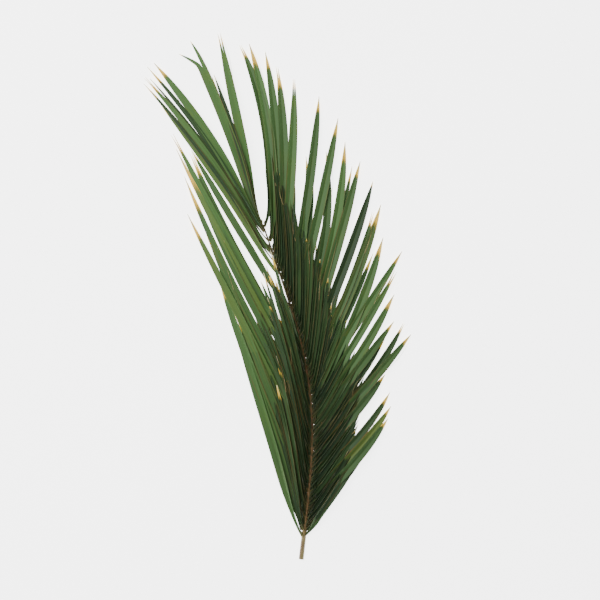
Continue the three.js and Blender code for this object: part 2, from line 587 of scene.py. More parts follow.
@dataclass(frozen=True)
class StalkSkin:
    """The fibrous skin of the rachis and of the swollen leaflet bases."""

    name: str
    foot: Colour
    middle: Colour
    top: Colour
    shade: Colour
    roughness: float = 0.4
    fibre_roughness: float = 0.2
    fibre_depth: float = 0.2
    fibre_stretch: Point = (1500.0, 40.0, 1500.0)
    fibre_shade: Span = (0.45, 0.8)
    fibre_tint: float = 0.5
    blotch_stretch: Point = (60.0, 22.0, 60.0)
    blotch_shade: Span = (0.42, 0.72)
    relief: float = 0.7

    def dress(self) -> bpy.types.Material:
        """Makes the skin as a material that changes along the rachis.

        Returns:
            The material.
        """
        board = NodeBoard(self.name)
        share = board.attribute("share")
        fibres = board.noise(board.place(self.fibre_stretch), 1.0, 3.0)
        blotches = board.noise(board.place(self.blotch_stretch), 1.0, 3.0)
        colour = board.ramp(share, (
            (0.0, self.foot), (0.05, self.foot), (0.12, self.middle), (0.65, self.middle), (0.85, self.top)
        ))
        colour = board.blend(board.ease(blotches, *self.blotch_shade), colour, self.shade)
        dark = board.times(board.ease(fibres, *self.fibre_shade), self.fibre_tint)
        colour = board.blend(dark, colour, self.shade)
        board.feed(board.shader, "Base Color", colour)
        roughness = board.math("MULTIPLY_ADD", fibres, self.fibre_roughness, self.roughness)
        board.feed(board.shader, "Roughness", roughness)
        board.relief(fibres, self.relief, self.fibre_depth)
        return board.material


@dataclass(frozen=True)
class CutFace:
    """The fresh cut through the rachis, with its pale pith and darker fibre ends."""

    name: str = "cut_pith"
    pith: Colour = (0.420, 0.360, 0.150)
    fibre: Colour = (0.150, 0.110, 0.040)
    roughness: float = 0.75
    dots_per_metre: float = 1600.0
    dot: Span = (0.2, 0.45)
    dot_depth: float = 0.15
    relief: float = 0.6

    def dress(self) -> bpy.types.Material:
        """Makes the cut face as a dotted material.

        Returns:
            The material.
        """
        board = NodeBoard(self.name)
        dots = board.add("ShaderNodeTexVoronoi", feature="F1")
        board.feed(dots, "Vector", board.place((1.0, 1.0, 1.0)))
        board.feed(dots, "Scale", self.dots_per_metre)
        ends = board.ease(dots.outputs["Distance"], *self.dot)
        board.feed(board.shader, "Base Color", board.blend(ends, self.fibre, self.pith))
        board.feed(board.shader, "Roughness", self.roughness)
        board.relief(ends, self.relief, self.dot_depth)
        return board.material


@dataclass(frozen=True)
class DryFibre:
    """The straw of hair-thin fibres that peel off a blade's margin."""

    name: str = "dry_fibre"
    pale: Colour = (0.640, 0.500, 0.250)
    dark: Colour = (0.330, 0.200, 0.080)
    roughness: float = 0.6
    streak_stretch: Point = (90.0, 30.0, 90.0)
    streak_shade: Span = (0.35, 0.65)
    streak_depth: float = 0.05
    relief: float = 0.3

    def dress(self) -> bpy.types.Material:
        """Makes the fibre as a streaked material.

        Returns:
            The material.
        """
        board = NodeBoard(self.name)
        streaks = board.noise(board.place(self.streak_stretch), 1.0)
        colour = board.blend(board.ease(streaks, *self.streak_shade), self.pale, self.dark)
        board.feed(board.shader, "Base Color", colour)
        board.feed(board.shader, "Roughness", self.roughness)
        board.relief(streaks, self.relief, self.streak_depth)
        return board.material


@dataclass(frozen=True)
class Paper:
    """The plain pale floor."""

    name: str = "pale_floor"
    colour: Colour = (0.86, 0.86, 0.86)
    roughness: float = 0.9
    glow: float = 4.2

    def dress(self) -> bpy.types.Material:
        """Makes the floor's material.

        Returns:
            The material.
        """
        board = NodeBoard(self.name)
        board.feed(board.shader, "Base Color", self.colour)
        board.feed(board.shader, "Emission Color", (1.0, 1.0, 1.0))
        board.feed(board.shader, "Emission Strength", self.glow)
        board.feed(board.shader, "Roughness", self.roughness)
        return board.material


@dataclass(frozen=True)
class Station:
    """What the leaflets are like at one place along the rachis."""

    at: float
    lean: float
    length: float
    bow: float
    width: float


def marked(*rows: tuple[float, float, float, float, float]) -> tuple[Station, ...]:
    """Returns stations from rows of place, lean, length, bow and width."""
    return tuple(Station(*row) for row in rows)


@dataclass(frozen=True)
class Placed:
    """One leaflet that is placed by its root and its tip.

    Attributes:
        at: How far along the rachis it grows, as a share.
        right: How many steps to the right of the cut end its tip lies.
        up: How many steps up from the cut end its tip lies.
        bow: How far its lean grows from root to tip.
        width: Its widest width.
    """

    at: float
    right: float
    up: float
    bow: float
    width: float
    step: ClassVar[float] = 1.523

    def station(self, line: PlanLine) -> Station:
        """Finds the lean and length that take the leaflet from the rachis to its tip.

        Args:
            line: The rachis line, from the cut end.

        Returns:
            The leaflet's station, with its bow and width as they are.
        """
        cut, root = line.at(0.0), line.at(self.at)
        across = root.x - (cut.x + self.right * self.step)
        ahead = cut.y + self.up * self.step - root.y
        slack = 1 + math.radians(self.bow) ** 2 / 24
        lean = math.degrees(math.atan2(across, ahead))
        return Station(self.at, lean, math.hypot(across, ahead) * slack, self.bow, self.width)


def placed(*rows: tuple[float, float, float, float, float]) -> tuple[Placed, ...]:
    """Returns leaflets from rows of place, right, up, bow and width."""
    return tuple(Placed(*row) for row in rows)


@dataclass(frozen=True)
class Roll:
    """How far a blade is turned on its edge at its root and tip, and where it lies flattest."""

    at_root: float
    at_tip: float
    flat_at: float


@dataclass(frozen=True)
class Wander:
    """How far each quantity differs from leaflet to leaflet, to either side."""

    along: float = 0.006
    lean: float = 0.6
    length: float = 0.08
    bow: float = 3.0
    width: float = 0.12
    roll: float = 5.0
    arch: float = 0.8


@dataclass(frozen=True)
class Fork:
    """A split in a blade's tip.

    Attributes:
        start: The share of the length at which the halves part.
        left: How far the left half strays to the left.
        right: How far the right half strays to the right.
        shorter: How much of the length the left half lacks.
        taper: How late the blade narrows. More is later.
    """

    start: float
    left: float
    right: float
    shorter: float = 0.0
    taper: float = 6.0


@dataclass(frozen=True)
class Accent:
    """What sets a chosen leaflet apart from the others of its rank. None leaves it as it is.

    Attributes:
        tone: From 0 for the darkest green to 1 for the lightest.
        dry: The share of the length that has dried.
        yellow: How far the green has turned to lime yellow, from 0 to 1.
        fork: A split of its tip.
        root_share: How wide its root is, as a share of its widest width.
    """

    tone: float | None = None
    dry: float | None = None
    yellow: float = 0.0
    fork: Fork | None = None
    root_share: float | None = None

    def apply(self, leaflet: "Leaflet") -> None:
        """Gives a leaflet these looks.

        Args:
            leaflet: The leaflet, before it grows from the rachis.
        """
        leaflet.yellow = self.yellow
        if self.tone is not None:
            leaflet.tone = self.tone
        if self.dry is not None:
            leaflet.dry = self.dry
        if self.fork:
            leaflet.fork = self.fork
        if self.root_share is not None:
            leaflet.root_share = self.root_share


@dataclass
class Rachis:
    """The midrib: its line, its section and its mesh."""

    length: float = 520.0
    lean_at_cut: float = -6.5
    lean_at_tip: float = 19.0
    bend_from: float = 0.12
    bend_to: float = 0.86
    width_at_cut: float = 7.6
    width_at_tip: float = 2.6
    height_share: float = 0.82
    rise_from: float = 0.68
    rise_at_tip: float = 7.0
    rest_along: float = 0.62
    steps: int = 72
    sides: int = 20
    rings: int = 96
    underside: float = -0.72
    underside_spread: float = 1.25
    ridge_from: float = 0.75
    ridge_share: float = 0.62
    ridge_lift: float = 1.04
    hollow: Span = (0.2, 0.65)
    hollow_share: float = 0.9
    rim: float = 0.16
    pith_inset: float = 0.3
    pith_depth: float = 0.0012
    pith_rise: float = 0.0006
    end_facing: float = 0.9
    long_edge: float = 0.9
    line: PlanLine = field(init=False)

    def __post_init__(self) -> None:
        """Walks the line and puts its resting spot at the origin."""
        self.line = PlanLine((0.0, 0.0), self.length, self.steps, self.lean_at)
        rest = self.line.at(self.rest_along)
        self.line.move(-rest.x, -rest.y)

    def lean_at(self, share: float) -> float:
        """Returns the lean at a share of the length."""
        bend = smooth(self.bend_from, self.bend_to, share)
        return mix(self.lean_at_cut, self.lean_at_tip, bend)

    def width_at(self, share: float) -> float:
        """Returns the width at a share of the length."""
        return mix(self.width_at_cut, self.width_at_tip, share)

    def foot_at(self, share: float) -> float:
        """Returns the height of the underside over the floor."""
        return self.rise_at_tip * smooth(self.rise_from, 1.0, share)

    def middle_at(self, share: float) -> float:
        """Returns the height at which a leaflet grows out."""
        return self.foot_at(share) + self.width_at(share) * self.height_share * 0.5

    def model(self) -> Piece:
        """Draws the rachis out from a cylinder and lays it along its line.

        Returns:
            The rachis, not dressed yet.
        """
        deselect_all()
        bpy.ops.mesh.primitive_cylinder_add(
            vertices=self.sides, radius=1, depth=1, rotation=(math.pi / 2, 0, 0), end_fill_type="NGON"
        )
        rod = bpy.context.active_object
        bpy.ops.object.transform_apply(rotation=True)
        self.flatten_underside(rod)
        self.raise_ridge(rod)
        self.cut_face(rod)
        self.divide(rod)
        self.lay(rod)
        return rod

    def flatten_underside(self, rod: Piece) -> None:
        """Presses the lowest corners of the section onto one level."""
        spread = (self.underside_spread, 1, 0)
        resize_where(rod, lambda p: p[2] < self.underside, spread, (0, 0, self.underside))

    def raise_ridge(self, rod: Piece) -> None:
        """Draws the top of the section in to a blunt ridge, with a hollow on each side.

        Args:
            rod: The straight rod.
        """
        low, high = self.hollow
        resize_where(rod, lambda p: p[2] > self.ridge_from, (self.ridge_share, 1, self.ridge_lift))
        resize_where(rod, lambda p: low < p[2] < high, (self.hollow_share, 1, 1))

    def cut_face(self, rod: Piece) -> None:
        """Insets the cut end, sinks its pith a little and gives it a finish of its own.

        Args:
            rod: The straight rod, whose cut end is the lower one along Y.
        """
        pick(rod)
        bpy.ops.object.mode_set(mode="EDIT")
        bpy.ops.mesh.select_mode(type="FACE")
        bpy.ops.mesh.select_all(action="DESELECT")
        bpy.ops.object.mode_set(mode="OBJECT")
        end = min(rod.data.polygons, key=lambda face: face.center.y)
        end.select = True
        bpy.ops.object.mode_set(mode="EDIT")
        bpy.ops.mesh.inset(thickness=self.rim, depth=0)
        bpy.ops.transform.translate(value=(0, self.pith_depth, 0))
        bpy.ops.mesh.inset(thickness=self.pith_inset, depth=0)
        bpy.ops.transform.translate(value=(0, -self.pith_rise, 0))
        bpy.ops.object.mode_set(mode="OBJECT")
        for face in rod.data.polygons:
            flat = abs(face.normal.y) > self.end_facing and face.center.y < 0
            face.material_index = 1 if flat else 0

    def divide(self, rod: Piece) -> None:
        """Divides the long edges, so that the rod can follow its line.

        Args:
            rod: The straight rod.
        """
        select_vertices(rod, lambda p: False)
        bpy.ops.mesh.select_mode(type="EDGE")
        bpy.ops.object.mode_set(mode="OBJECT")
        places = rod.data.vertices
        for edge in rod.data.edges:
            near, far = (places[index].co.y for index in edge.vertices)
            edge.select = abs(near - far) > self.long_edge
        bpy.ops.object.mode_set(mode="EDIT")
        bpy.ops.mesh.subdivide(number_cuts=self.rings - 1)
        bpy.ops.object.mode_set(mode="OBJECT")

    def lay(self, rod: Piece) -> None:
        """Bends the rod along its line and notes how far along each vertex is.

        Args:
            rod: The straight rod, from -0.5 to 0.5 along Y.
        """
        top = max(vertex.co.z for vertex in rod.data.vertices)
        shares = rod.data.attributes.new("share", "FLOAT", "POINT")
        for index, vertex in enumerate(rod.data.vertices):
            share = vertex.co.y + 0.5
            width = self.width_at(share)
            height = width * self.height_share * (vertex.co.z - self.underside) / (top - self.underside)
            across = vertex.co.x * width / 2
            place = self.line.at(share)
            vertex.co = place.section(across, self.foot_at(share) + height)
            shares.data[index].value = min(max(share, 0.0), 1.0)


@dataclass
class Leaflet:
    """One leaflet: its line from the rachis to its tip and the turn of its blade."""

    at: float
    side: int
    lean: float
    length: float
    bow: float
    width: float
    roll: Roll
    roll_sway: float
    arch: float
    tip_height: float
    upper: float
    tone: float
    dry: float
    worn: float
    curl: float
    fork: Fork | None
    root_share: float
    root_offset: float
    widest: float
    yellow: float = 0.0
    root_turn: float = 15.0
    root_reach: float = 0.06
    upper_rise: float = 0.2
    fold_at_root: float = 32.0
    fold_at_tip: float = 14.0
    solid_thickness: float = 0.8
    taper: float = 6.0
    finest: float = 0.7
    fork_bend: float = 1.35
    steps: int = 36
    line: PlanLine = field(init=False)
    root_height: float = field(init=False)

    def grow_from(self, rachis: Rachis) -> None:
        """Starts the leaflet's line inside the rachis, in its middle or nearer its side.

        Args:
            rachis: The rachis that carries the leaflet.
        """
        root = rachis.line.at(self.at)
        beside = -self.side * self.root_offset * rachis.width_at(self.at) / 2
        turn = math.radians(root.lean)
        start = (root.x + beside * math.cos(turn), root.y + beside * math.sin(turn))
        self.root_height = rachis.middle_at(self.at)
        self.line = PlanLine(start, self.length, self.steps, self.lean_at)

    def lean_at(self, share: float) -> float:
        """Returns the lean at a share of the length."""
        root = math.exp(-share / self.root_reach) - self.root_reach
        return self.lean + self.bow * (share - 0.5) + self.side * self.root_turn * root

    def width_at(self, share: float) -> float:
        """Works out how wide the blade is.

        Args:
            share: How far along the blade, from 0 to 1.

        Returns:
            The width there.
        """
        opening = mix(self.root_share, 1.0, smooth(0.0, self.widest, share))
        taper = self.fork.taper if self.fork else self.taper
        return max(self.width * opening * (1 - share**taper), self.finest)

    def place(self, across: float, share: float, height: float, fork_side: int = 0) -> Point:
        """Lays a point of the blade blank along the leaflet.

        Args:
            across: From -1 at the left margin to 1 at the right.
            share: From 0 at the root to 1 at the tip.
            height: How far up the fold the point is, from 0 at the keel to 1 at the margins.
            fork_side: -1 or 1 for the left or right half of a split blade, 0 for a whole one.

        Returns:
            The point in metres.
        """
        half = self.width_at(share) / 2
        shift = self.stray(share, fork_side)
        if self.fork and fork_side < 0:
            share -= self.fork.shorter * self.parted(share)
        centre = self.line.at(share)
        fold = math.radians(mix(self.fold_at_root, self.fold_at_tip, share))
        level = mix(self.roll.at_root, self.roll.at_tip, smooth(0.0, self.roll.flat_at, share))
        roll = math.radians(level + self.roll_sway * share)
        clearance = half * max(0.0, math.sin(roll - fold))
        lifted = self.upper * smooth(0.0, self.upper_rise, share)
        keel = self.root_height * (1 - share) ** 2 + self.arch * math.sin(math.pi * share)
        keel += self.tip_height * share + lifted + clearance
        turn = self.side * roll
        x = across * half * math.cos(fold)
        y = height * half * math.sin(fold) + self.solid_thickness / 2
        return centre.section(
            x * math.cos(turn) - y * math.sin(turn) + shift,
            keel + x * math.sin(turn) + y * math.cos(turn),
        )

    def parted(self, share: float) -> float:
        """Returns how far along its split the blade is, from 0 to 1."""
        return max(0.0, (share - self.fork.start) / (1 - self.fork.start))

    def stray(self, share: float, fork_side: int) -> float:
        """Works out how far the dry tip curls and a split half strays.

        Args:
            share: How far along the blade, from 0 to 1.
            fork_side: -1 or 1 for the left or right half of a split blade, 0 for a whole one.

        Returns:
            How far to the right.
        """
        dried = max(0.0, (share - 1 + self.dry) / self.dry)
        shift = self.curl * dried * dried
        if self.fork and fork_side:
            reach = self.fork.right if fork_side > 0 else -self.fork.left
            shift += reach * self.parted(share) ** self.fork_bend
        return shift


@dataclass(frozen=True)
class Rank:
    """The leaflets along one side of the rachis that share a manner of growing.

    Attributes:
        side: 1 for the left and -1 for the right, as a lean counts.
        upper: How far the leaflets rise over the main ones.
        arch: How high they arch.
        accents: Looks of chosen leaflets, by their order in the rank.
    """

    side: int
    seed: int
    roll: Roll
    upper: float
    arch: float
    tip_height: float
    wander: Wander = Wander()
    accents: tuple[tuple[int, Accent], ...] = ()
    fork_share: float = 0.2
    worn: float = 0.8
    dry: Span = (0.06, 0.13)
    tone: Span = (0.0, 0.4)
    tone_spread: float = 0.25
    root_share: float = 0.4
    root_offset: float = 0.0
    widest: float = 0.26
    looks_seed: ClassVar[int] = 1000
    tip_curl: ClassVar[float] = 0.3
    split_start: ClassVar[Span] = (0.88, 0.94)
    split_reach: ClassVar[Span] = (1.2, 2.6)
    split_balance: ClassVar[float] = 0.6

    def stations(self, rachis: Rachis, row: SeededRow) -> list[Station]:
        """Returns the place and size of each leaflet."""
        raise NotImplementedError

    def grow(self, rachis: Rachis) -> list[Leaflet]:
        """Grows the rank's leaflets, each with its own small differences.

        Args:
            rachis: The rachis that carries them.

        Returns:
            The leaflets, in their order in the rank.
        """
        row = SeededRow(self.seed)
        looks = SeededRow(self.seed + self.looks_seed)
        accents = dict(self.accents)
        leaflets = []
        for index, station in enumerate(self.stations(rachis, row)):
            leaflet = Leaflet(
                at=station.at,
                side=self.side,
                lean=station.lean,
                length=station.length,
                bow=station.bow,
                width=station.width,
                roll=self.roll,
                roll_sway=row.sway(self.wander.roll),
                arch=self.arch + row.sway(self.wander.arch),
                tip_height=max(0.0, row.sway(self.tip_height)),
                upper=self.upper,
                tone=min(max(mix(*self.tone, station.at) + looks.sway(self.tone_spread), 0.0), 1.0),
                root_share=self.root_share,
                root_offset=self.root_offset,
                widest=self.widest,
                dry=mix(*self.dry, looks.draw()),
                worn=self.worn * looks.draw(),
                curl=looks.sway(self.tip_curl),
                fork=self.split_tip(looks),
            )
            if index in accents:
                accents[index].apply(leaflet)
            leaflet.grow_from(rachis)
            leaflets.append(leaflet)
        return leaflets

    def split_tip(self, looks: SeededRow) -> Fork | None:
        """Splits some of the tips a little.

        Args:
            looks: The row that the numbers are drawn from.

        Returns:
            The split, or None for a whole tip.
        """
        chance = looks.draw()
        start = mix(*self.split_start, looks.draw())
        reach = mix(*self.split_reach, looks.draw())
        fork = Fork(start, reach, reach * self.split_balance)
        return fork if chance < self.fork_share else None


@dataclass(frozen=True)
class PlacedRank(Rank):
    """Leaflets that are placed one by one."""

    places: tuple[Placed, ...] = ()

    def stations(self, rachis: Rachis, row: SeededRow) -> list[Station]:
        """Returns the place and size of each leaflet."""
        return [place.station(rachis.line) for place in self.places]


@dataclass(frozen=True)
class RowRank(Rank):
    """A row of leaflets that change evenly from one end to the other.

    Attributes:
        start: Where on the rachis the row starts, as a share of its length.
        end: Where it ends.
        pairing: How near the second leaflet of a pair stands to the first.
        clump_lean: How far a clump of leaflets leans together.
        marks: What the leaflets are like at some places along the rachis.
    """

    count: int = 1
    start: float = 0.0
    end: float = 1.0
    pairing: float = 0.0
    clump_lean: float = 0.0
    clump_size: int = 3
    root_share: float = 0.9
    root_offset: float = 0.6
    widest: float = 0.1
    marks: tuple[Station, ...] = ()

    def read(self, at: float) -> Station:
        """Reads the marks at one place, between the two nearest.

        Args:
            at: How far along the rachis, as a share.

        Returns:
            What a leaflet is like there.
        """
        index = 0
        while index < len(self.marks) - 2 and at > self.marks[index + 1].at:
            index += 1
        low, high = self.marks[index], self.marks[index + 1]
        share = min(max((at - low.at) / (high.at - low.at), 0.0), 1.0)
        return Station(
            at,
            mix(low.lean, high.lean, share),
            mix(low.length, high.length, share),
            mix(low.bow, high.bow, share),
            mix(low.width, high.width, share),
        )

    def stations(self, rachis: Rachis, row: SeededRow) -> list[Station]:
        """Places the row's leaflets, in pairs and clumps.

        Args:
            rachis: The rachis that carries them.
            row: The row that the numbers are drawn from.

        Returns:
            The place and size of each leaflet.
        """
        found = []
        wander = self.wander
        clump_lean = 0.0
        for index in range(self.count):
            if index % self.clump_size == 0:
                clump_lean = row.sway(self.clump_lean)
            paired = self.pairing if index % 2 == 1 else 0.0
            at = mix(self.start, self.end, (index - paired) / (self.count - 1))
            at = min(at + row.sway(wander.along), self.end)
            mean = self.read(at)
            found.append(Station(
                at,
                mean.lean + clump_lean + row.sway(wander.lean),
                mean.length * (1 + row.sway(wander.length)),
                mean.bow + row.sway(wander.bow),
                mean.width * (1 + row.sway(wander.width)),
            ))
        return found


@dataclass
class BladeBlank:
    """The one blade that every leaflet is copied from, in shares of width, length and fold."""

    columns: int = 8
    rows: int = 40
    inner_column: float = 0.1
    middle_column: float = 0.45
    pleat: float = 0.05
    close: float = 0.001
    weld: float = 0.0001

    def model(self) -> Piece:
        """Shapes a folded blade from a grid.

        Returns:
            The blade.
        """
        deselect_all()
        bpy.ops.mesh.primitive_grid_add(x_subdivisions=self.columns, y_subdivisions=self.rows, size=2)
        blank = bpy.context.active_object
        blank.name = "blade_blank"
        blank.data.uv_layers[0].name = BLADE_MAP
        select_vertices(blank, lambda p: True)
        bpy.ops.transform.resize(value=(1, 0.5, 1), center_override=(0, 0, 0))
        bpy.ops.transform.translate(value=(0, 0.5, 0))
        self.draw_in_columns(blank)
        self.fold(blank)
        return blank

    def draw_in_columns(self, blank: Piece) -> None:
        """Moves the columns beside the keel in, so that the fold is crisp.

        Args:
            blank: The blade, still flat.
        """
        step = 2 / self.columns
        for place, target in ((step, self.inner_column), (2 * step, self.middle_column)):
            share = (target / place, 1, 1)
            resize_where(blank, lambda p, place=place: abs(abs(p[0]) - place) < step / 4, share)

    def fold(self, blank: Piece) -> None:
        """Lifts each column to its height in the fold, with a shallow pleat along each wing.

        Args:
            blank: The blade, still flat.
        """
        columns = sorted({round(abs(vertex.co.x), 4) for vertex in blank.data.vertices})
        for column in columns:
            pleat = self.pleat if abs(column - self.middle_column) < self.close else 0.0
            select_vertices(blank, lambda p, column=column: abs(abs(p[0]) - column) < self.close)
            bpy.ops.transform.translate(value=(0, 0, column + pleat))
        bpy.ops.object.mode_set(mode="OBJECT")

    def half(self, blank: Piece, side: int) -> Piece:
        """Cuts one half out of a copy of a blank, along the keel.

        Args:
            blank: The whole blade.
            side: -1 for the left half, 1 for the right one.

        Returns:
            The half.
        """
        wing = copy_of(blank, "blade_wing")
        select_vertices(wing, lambda p: True)
        bpy.ops.mesh.bisect(
            plane_co=(0, 0, 0), plane_no=(side, 0, 0), use_fill=False, clear_inner=True, threshold=self.weld
        )
        bpy.ops.object.mode_set(mode="OBJECT")
        return wing


@dataclass
class Leaflets:
    """The leaflets of some ranks as one piece, cut, folded and dressed."""

    name: str
    ranks: tuple[Rank, ...]
    thickness: float = 0.45
    grown: list[Leaflet] = field(default_factory=list)

    def grow(self, rachis: Rachis) -> None:
        """Grows every leaflet out of the rachis."""
        self.grown = [leaflet for rank in self.ranks for leaflet in rank.grow(rachis)]

    def model(self, blank: Piece, wings: dict[int, Piece]) -> Piece:
        """Lays a copy of the blank along each leaflet and joins them.

        Args:
            blank: The whole blade.
            wings: Its halves, by side, for split blades.

        Returns:
            The leaflets with their thickness.
        """
        blades = []
        for leaflet in self.grown:
            for side, source in (wings.items() if leaflet.fork else ((0, blank),)):
                blade = copy_of(source, self.name)
                self.lay(blade, leaflet, side)
                blades.append(blade)
        piece = join(blades, self.name)
        solid = piece.modifiers.new("thickness", "SOLIDIFY")
        solid.thickness = self.thickness * MM
        solid.offset = 0
        bpy.ops.object.modifier_apply(modifier=solid.name)
        smooth_under(piece, BLADE_ANGLE)
        return piece

    def lay(self, blade: Piece, leaflet: Leaflet, side: int) -> None:
        """Lays one blade along its leaflet and writes the leaflet's numbers on it.

        Args:
            blade: A copy of the blank or of one of its halves.
            leaflet: The leaflet that it becomes.
            side: -1 or 1 for the left or right half, 0 for a whole blade.
        """
        for vertex in blade.data.vertices:
            vertex.co = leaflet.place(vertex.co.x, vertex.co.y, vertex.co.z, side)
        for name in ("tone", "dry", "worn", "yellow"):
            numbers = blade.data.attributes.new(name, "FLOAT", "POINT")
            numbers.data.foreach_set("value", [getattr(leaflet, name)] * len(blade.data.vertices))


@dataclass
class LeafletBases:
    """The small swollen bases on which the leaflets stand on the rachis."""

    segments: int = 10
    rings: int = 6
    length: float = 7.0
    width_share: float = 0.62
    start: float = 3.5
    rise: float = 0.6
    lowest: float = 0.2
    neck_from: float = 0.4
    neck: Point = (0.7, 1.0, 0.6)

    def model(self, leaflets: list[Leaflet]) -> Piece:
        """Sets a base at each leaflet's root.

        Args:
            leaflets: The leaflets, grown from the rachis.

        Returns:
            All the bases as one piece.
        """
        blank = self.blank()
        bases = []
        for leaflet in leaflets:
            base = copy_of(blank, "base")
            root_width = leaflet.width_at(0.0) * self.width_share
            shares = base.data.attributes.new("share", "FLOAT", "POINT")
            for index, vertex in enumerate(base.data.vertices):
                reach = (self.start + (vertex.co.y + 1) / 2 * self.length) / leaflet.length
                centre = leaflet.line.at(reach)
                swelling = root_width / 2
                height = leaflet.root_height + self.rise + vertex.co.z * swelling
                vertex.co = centre.section(vertex.co.x * swelling, max(height, self.lowest))
                shares.data[index].value = leaflet.at
            bases.append(base)
        remove(blank)
        piece = join(bases, "leaflet_bases")
        smooth_under(piece, ROUND_ANGLE)
        return piece

    def blank(self) -> Piece:
        """Draws one base out from a ball and narrows it towards the blade.

        Returns:
            The base.
        """
        deselect_all()
        bpy.ops.mesh.primitive_uv_sphere_add(
            segments=self.segments, ring_count=self.rings, radius=1, rotation=(math.pi / 2, 0, 0)
        )
        blank = bpy.context.active_object
        bpy.ops.object.transform_apply(rotation=True)
        resize_where(blank, lambda p: p[1] > self.neck_from, self.neck, (0, self.neck_from, 0))
        return blank


@dataclass
class LooseFibres:
    """Hair-thin fibres that peel off some blades' margins near the tips."""

    every: int = 4
    sides: int = 5
    rings: int = 14
    radius: float = 0.22
    start: float = 0.74
    end: float = 0.985
    start_sway: float = 0.06
    bulge: Span = (1.5, 5.0)
    lift: Span = (0.5, 3.0)
    swing: float = 0.85
    thinning: float = 0.7
    lowest: float = 0.1
    seed: int = 77

    def model(self, leaflets: list[Leaflet]) -> Piece:
        """Lets fibres peel off some of the blades.

        Args:
            leaflets: The leaflets, grown from the rachis.

        Returns:
            The fibres as one piece.
        """
        blank = self.blank()
        row = SeededRow(self.seed)
        fibres = []
        for leaflet in leaflets[:: self.every]:
            margin = 1 if row.draw() < 0.5 else -1
            bulge = mix(*self.bulge, row.draw())
            lift = mix(*self.lift, row.draw())
            start = self.start + row.sway(self.start_sway)
            fibre = copy_of(blank, "fibre")
            for vertex in fibre.data.vertices:
                along = vertex.co.y
                share = mix(start, self.end, along)
                thin = self.radius * (1 - self.thinning * along)
                centre = leaflet.line.at(share)
                x, y, z = leaflet.place(margin, share, 1.0)
                away = margin * bulge * math.sin(math.pi * self.swing * along)
                turn = math.radians(centre.lean)
                across = away + vertex.co.x * thin
                up = lift * math.sin(math.pi * along) + vertex.co.z * thin
                vertex.co = (
                    x + across * math.cos(turn) * MM,
                    y + across * math.sin(turn) * MM,
                    max(z + up * MM, self.lowest * MM),
                )
            fibres.append(fibre)
        remove(blank)
        piece = join(fibres, "loose_fibres")
        smooth_under(piece, ROUND_ANGLE)
        return piece

    def blank(self) -> Piece:
        """Makes one straight fibre of unit length and radius, divided along its length.

        Returns:
            The fibre.
        """
        deselect_all()
        bpy.ops.mesh.primitive_cylinder_add(
            vertices=self.sides, radius=1, depth=1, location=(0, 0.5, 0),
            rotation=(math.pi / 2, 0, 0), end_fill_type="NGON",
        )
        blank = bpy.context.active_object
        bpy.ops.object.transform_apply(location=True, rotation=True)
        for ring in range(1, self.rings):
            select_vertices(blank, lambda p: True)
            bpy.ops.mesh.bisect(plane_co=(0, ring / self.rings, 0), plane_no=(0, 1, 0))
        bpy.ops.object.mode_set(mode="OBJECT")
        return blank


@dataclass
class Studio:
    """The pale floor, the soft light and the camera straight above."""

    picture_side: float = 600.0
    scale: float = 1.523
    cut_end_in_picture: tuple[float, float] = (301.2, 559.0)
    camera_height: float = 3000.0
    sensor: float = 36.0
    floor_side: float = 8000.0
    key_power: float = 60.0
    key_side: float = 1.4
    key_place: Point = (-1.1, 0.9, 1.9)
    sky_strength: float = 0.5

    def build(self, rachis: Rachis) -> None:
        """Builds the whole studio round the frond.

        Args:
            rachis: The rachis, whose cut end places the camera.
        """
        self.lay_floor()
        self.light()
        self.place_camera(rachis)

    def lay_floor(self) -> None:
        """Lays a plain floor under the frond."""
        deselect_all()
        bpy.ops.mesh.primitive_plane_add(size=self.floor_side * MM)
        floor = bpy.context.active_object
        floor.name = "floor"
        floor.data.materials.append(Paper().dress())

    def light(self) -> None:
        """Hangs one large soft light at the upper left and lets an even sky fill the shadows."""
        key = bpy.data.lights.new("key", "AREA")
        key.shape = "SQUARE"
        key.size = self.key_side
        key.energy = self.key_power
        lamp = bpy.data.objects.new("key", key)
        bpy.context.collection.objects.link(lamp)
        lamp.location = self.key_place
        x, y, z = self.key_place
        lamp.rotation_euler = (math.atan2(math.hypot(x, y), z), 0, math.atan2(x, -y))
        world = bpy.data.worlds.new("sky")
        world.use_nodes = True
        background = world.node_tree.nodes["Background"]
        background.inputs["Color"].default_value = (1, 1, 1, 1)
        background.inputs["Strength"].default_value = self.sky_strength
        bpy.context.scene.world = world

    def place_camera(self, rachis: Rachis) -> None:
        """Puts the camera over the picture's middle, looking straight down.

        Args:
            rachis: The rachis, whose cut end places the camera.
        """
        cut = rachis.line.at(0.0)
        column, row = self.cut_end_in_picture
        middle = self.picture_side / 2
        camera = bpy.data.objects.new("camera", bpy.data.cameras.new("camera"))
        bpy.context.collection.objects.link(camera)
        camera.location = (
            (cut.x + (middle - column) * self.scale) * MM,
            (cut.y + (row - middle) * self.scale) * MM,
            self.camera_height * MM,
        )
        camera.data.sensor_width = self.sensor
        camera.data.lens = self.sensor * self.camera_height / (self.picture_side * self.scale)
        bpy.context.scene.camera = camera


